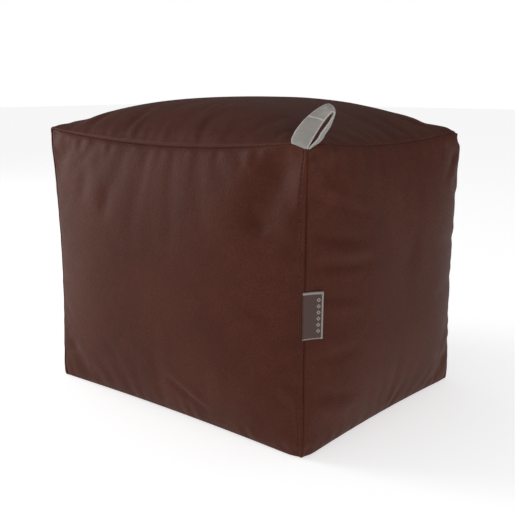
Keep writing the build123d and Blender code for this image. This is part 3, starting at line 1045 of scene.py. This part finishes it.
stitches = bmesh.new()
number = 0
for panel in ("front", "back"):
    for at_right in (False, True):
        row = bmesh.new()              # a row of its own stays small, and so does the time it takes
        number += stitch_row(row, panel, at_right)
        stitches.from_mesh(to_mesh("stitch_row", row))
bmesh.ops.recalc_face_normals(stitches, faces=stitches.faces)
for face in stitches.faces:
    face.smooth = True
topstitch = add_object("topstitching", to_mesh("topstitching", stitches, THREAD))
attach(topstitch, "cover")
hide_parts("corner_topstitch")
print("stitches", number)

# %% [markdown]
# ## The webbing loop
# A length of 25 mm grey webbing is bent over and its two ends are sewn into the seams that meet at
# the corner. It is modelled straight away as a strip between two guide lines, one for each
# selvedge, because a simulation would lose its stiff, slightly twisted bend.


# %% Webbing finish
RIB_PITCH = 1.6 * MM


def webbing_finish():
    s = Shader("webbing", Specular_IOR_Level=0.3, Sheen_Weight=0.35, Sheen_Roughness=0.4)
    u, v, _ = s.axes(s.cloth_place())
    rib = (v * (2 * math.pi / RIB_PITCH)).sine()
    warp = (u * (2 * math.pi / 0.0011) + (v * (math.pi / RIB_PITCH)).sine() * 1.2).sine()
    fibre = s.noise(s.cloth_place(), 1800.0, 4.0, 0.65)
    worn = s.noise(s.cloth_place(), 120.0, 3.0)
    selvedge = u.absolute().between(0.0106, 0.0114)
    colour = s.blend(fibre.between(0.3, 0.7), linear(128, 123, 118), linear(170, 165, 160))
    colour = s.blend((rib * 0.5 + 0.5) * 0.25, colour, linear(98, 94, 90))
    colour = s.blend(worn.between(0.5, 0.75) * 0.3, colour, linear(186, 182, 176))
    colour = s.blend(selvedge * 0.6, colour, linear(196, 192, 187))
    crease = 1 - (v - 0.0475 + u * 0.16 + (worn - 0.5) * 0.004).absolute().between(0.0004, 0.0013)
    colour = s.blend(crease * 0.7, colour, linear(205, 202, 198))
    height = rib * 0.55 + warp * 0.3 + fibre * 0.3
    s.set(Base_Color=colour, Roughness=0.68 + fibre * 0.15, Normal=s.bump(height, 0.00022, 0.9))
    return s.material


WEBBING = webbing_finish()


# %% Guide lines of the webbing, in millimetres from the corner
NEAR_EDGE = [(-4, 4, -6), (0.4, 0, -0.3), (4.8, 2.5, 9), (10.5, 4.9, 19.5), (21.4, 4.4, 32.7),
             (29.3, 3.8, 40.2), (32.3, 4.6, 42), (32.4, 6, 38.5), (24.2, 7, 28.8), (14, 6.5, 17),
             (8.8, 6, 9), (1.6, 1.4, 0.2), (-4, 3, -6)]
FAR_EDGE = [(-27, 5, 0), (-23.8, -1.2, 7.8), (-20.4, -2.2, 14), (-15.3, -3.1, 20.7), (-4, -0.7, 33.5),
            (6.4, 9.9, 44.8), (15, 19.5, 50), (18.9, 26.8, 42), (12.5, 28, 25.5), (4.5, 27.8, 14.5),
            (1.6, 26.8, 9), (-1.2, 25, 5.2), (-7, 24, -1)]
WEBBING_WIDTH, WEBBING_THICKNESS = 25 * MM, 1.5 * MM


def smooth_line(guide, count):
    """Evenly spaced points on a smooth curve through the guide points."""
    guide = np.array(guide, float)[:, None, :]
    dense = cubic(guide, np.linspace(0, len(guide) - 1, 600))[:, 0]
    run = np.concatenate([[0], np.cumsum(np.linalg.norm(np.diff(dense, axis=0), axis=1))])
    even = np.linspace(0, run[-1], count)
    return np.stack([np.interp(even, run, dense[:, k]) for k in range(3)], axis=-1), run[-1]


ROWS, COLUMNS = 96, 14
near_line, near_length = smooth_line(NEAR_EDGE, ROWS)
far_line, far_length = smooth_line(FAR_EDGE, ROWS)
share = np.linspace(0, 1, COLUMNS)[None, :, None]
strip = (near_line[:, None] * (1 - share) + far_line[:, None] * share) * MM + np.array(LOOP_CORNER)
cut_v = np.linspace(0, (near_length + far_length) / 2 * MM, ROWS)
cut_u = np.linspace(-0.5, 0.5, COLUMNS) * WEBBING_WIDTH
flat = np.stack(np.broadcast_arrays(cut_u[None, :], cut_v[:, None]), axis=-1)
webbing = grid_piece("webbing_loop_strip", strip, flat, WEBBING)
thicken(webbing, WEBBING_THICKNESS, 0).use_even_offset = True
edge = webbing.modifiers.new("soft_selvedge", "BEVEL")
edge.width, edge.segments = 0.5 * MM, 2
edge.limit_method, edge.angle_limit = "ANGLE", math.radians(60)
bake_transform(webbing)
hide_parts("carry_loop", "loop_root")
print("webbing edges", round(near_length, 1), round(far_length, 1), "mm")

# %% [markdown]
# ## The side label
# A short length of woven tape is folded in half, and its two ends are caught in the upright seam.
# It is a brown field inside a pale grey border, with a small woven motif that stands for any
# maker's. The fold stays slightly open, and the tape lifts off the panel towards its free edge.


# %% Label finish
def label_finish():
    s = Shader("label_tape", Specular_IOR_Level=0.35, Sheen_Weight=0.3)
    u, v, _ = s.axes(s.cloth_place())
    weft = (v * (2 * math.pi / 0.0005)).sine()
    warp = (u * (2 * math.pi / 0.0006)).sine()
    fibre = s.noise(s.cloth_place(), 2600.0, 3.0)
    reach = u.absolute()
    top_border = v.between(0.0578, 0.0582)
    foot_border = (1 - v.between(0.0012, 0.0016)) * ((u % 0.0022) > 0.0007)
    fold_border = 1 - reach.between(0.0022, 0.0026)
    border = top_border.highest(fold_border).highest(foot_border)
    across = ((v - 0.0065) % 0.008) - 0.004
    from_middle = across.absolute() + (reach - 0.0065).absolute()
    diamond = (1 - from_middle.between(0.0026, 0.0030)) * from_middle.between(0.0012, 0.0015)
    motif = diamond * v.between(0.0064, 0.0066) * (1 - v.between(0.0544, 0.0546))
    colour = s.blend(fibre, linear(58, 33, 27), linear(74, 44, 36))
    colour = s.blend(border * 0.9, colour, linear(160, 155, 150))
    colour = s.blend(motif * 0.8, colour, linear(176, 170, 160))
    colour = s.blend(fibre * 0.2, colour, linear(120, 112, 104))
    weave = s.bump(weft * 0.5 + warp * 0.5, 0.00010, 0.8)
    s.set(Base_Color=colour, Roughness=0.6 + fibre * 0.15, Normal=weave)
    return s.material


LABEL_FINISH = label_finish()

# %% Folded label
label_low, label_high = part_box("side_label")
fold_joint = next(joint for joint in frame["joints"] if joint["name"] == "label_fold")
hinge = Vector(fold_joint["pos_m"])
free = Vector((label_high[0] - hinge.x, label_high[1] - hinge.y, 0))
LABEL_REACH = free.length
free.normalize()
side_way = Vector((free.y, -free.x, 0))
LABEL_GAP, FOLD_DEPTH, LABEL_ROOT = 0.55 * MM, 1.15 * MM, 2.5 * MM
LABEL_CURL, LABEL_SWAY, LABEL_WAVE = 0.9 * MM, 1.3 * MM, 0.35 * MM
LABEL_WALL = 0.35 * MM


def label_profile():
    """The tape's middle line seen from above: out along one leaf, round the fold and back."""
    out = np.linspace(-LABEL_ROOT, LABEL_REACH - 1.2 * MM, 16)
    curl = LABEL_CURL * np.clip(out / (24 * MM), 0, 1) ** 2
    turn = np.linspace(math.pi / 2, -math.pi / 2, 7)[1:-1]
    near = np.stack([out, LABEL_GAP + curl], axis=-1)
    fold = np.stack([out[-1] + FOLD_DEPTH * np.cos(turn), curl[-1] + LABEL_GAP * np.sin(turn)], axis=-1)
    far = np.stack([out[::-1], -LABEL_GAP + curl[::-1]], axis=-1)
    return np.concatenate([near, fold, far])


profile = label_profile()
run = np.concatenate([[0], np.cumsum(np.linalg.norm(np.diff(profile, axis=0), axis=1))])
heights = np.linspace(label_low[2], label_high[2], 30)
along, across = profile[:, :1], profile[:, 1:]
level = np.linspace(-0.5, 0.5, len(heights))
out, sway = np.broadcast_arrays(along, LABEL_SWAY * level * np.maximum(along, 0) / (24 * MM) + across)
tape = np.array(hinge) * (1, 1, 0) + out[..., None] * np.array(free) + sway[..., None] * np.array(side_way)
tape[..., 2] = heights + LABEL_WAVE * np.sin(along / (9 * MM))
cut_u, cut_v = run - run[-1] / 2, heights - heights[0]
flat = np.stack(np.broadcast_arrays(cut_u[:, None], cut_v[None, :]), axis=-1)
label = grid_piece("side_label_tape", tape, flat, LABEL_FINISH)
thicken(label, LABEL_WALL, 0)
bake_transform(label)
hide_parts("side_label", "label_root")
print("label tape", round(run[-1] / MM, 1), "mm long before folding")

# %% [markdown]
# ## The zip
# The zip was modelled to size in CAD, so its parts keep their shapes and only get their finishes:
# woven tape, moulded teeth, and a dark plated slider and pull with brighter, rubbed patches.


# %% Zip finishes
def zip_tape_finish():
    s = Shader("zip_tape", Specular_IOR_Level=0.25, Sheen_Weight=0.2)
    x, y, _ = s.axes(s.place())
    twill = ((x + y * 1.7) * (2 * math.pi / 0.0009)).sine()
    fibre = s.noise(s.place(), 1500.0, 3.0)
    colour = s.blend(fibre.between(0.3, 0.7), linear(58, 34, 28), linear(80, 50, 42))
    colour = s.blend((twill * 0.5 + 0.5) * 0.3, colour, linear(44, 25, 20))
    s.set(Base_Color=colour, Roughness=0.75 + fibre * 0.15, Normal=s.bump(twill * 0.5 + fibre, 0.00012, 0.8))
    return s.material


def zip_teeth_finish():
    s = Shader("zip_teeth", Specular_IOR_Level=0.5)
    fine = s.noise(s.place(), 900.0, 3.0)
    worn = s.noise(s.place(), 160.0, 2.0)
    colour = s.blend(worn.between(0.35, 0.7), linear(62, 37, 31), linear(92, 60, 51))
    s.set(Base_Color=colour, Roughness=0.32 + fine * 0.2, Normal=s.bump(fine, 0.00006, 0.5))
    return s.material


def zip_metal_finish():
    s = Shader("zip_metal", Metallic=1.0)
    place = s.place()
    rubbed = s.noise(place, 210.0, 4.0, 0.6)
    drawn = s.node("ShaderNodeVectorMath", {"operation": "MULTIPLY"}, {0: place, 1: (300, 4200, 4200)})
    scratch = s.noise(drawn, 1.0)
    colour = s.blend(rubbed.between(0.4, 0.7), linear(92, 90, 88), linear(150, 147, 142))
    roughness = 0.28 + rubbed * 0.2 + scratch * 0.1
    s.set(Base_Color=colour, Roughness=roughness, Normal=s.bump(scratch, 0.00004, 0.4))
    return s.material


def dress(node, material):
    """Gives a CAD node its finish in the slots that it already has."""
    piece = frame["nodes"][node]
    if not piece.material_slots:
        piece.data.materials.append(material)
    for slot in piece.material_slots:
        slot.material = material


tape_finish, teeth_finish, metal_finish = zip_tape_finish(), zip_teeth_finish(), zip_metal_finish()
for end in ("front", "rear"):
    dress("zip_tape_" + end, tape_finish)
    dress("zip_teeth_" + end, teeth_finish)
for node in ("zip_stops", "zip_slider", "zip_pull"):
    dress(node, metal_finish)
dress("zip_stitching", THREAD)
print("zip dressed")

# %% [markdown]
# ## Finish
# The box around everything is kept beside the box of the CAD model.

# %% Sizes
SEEN_LOW, SEEN_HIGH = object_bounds()
for k, axis in enumerate("xyz"):
    grown = (CAD_LOW[k] - SEEN_LOW[k]) / MM, (SEEN_HIGH[k] - CAD_HIGH[k]) / MM
    print(axis, "stands proud of the CAD box by", [round(g, 1) for g in grown], "mm")
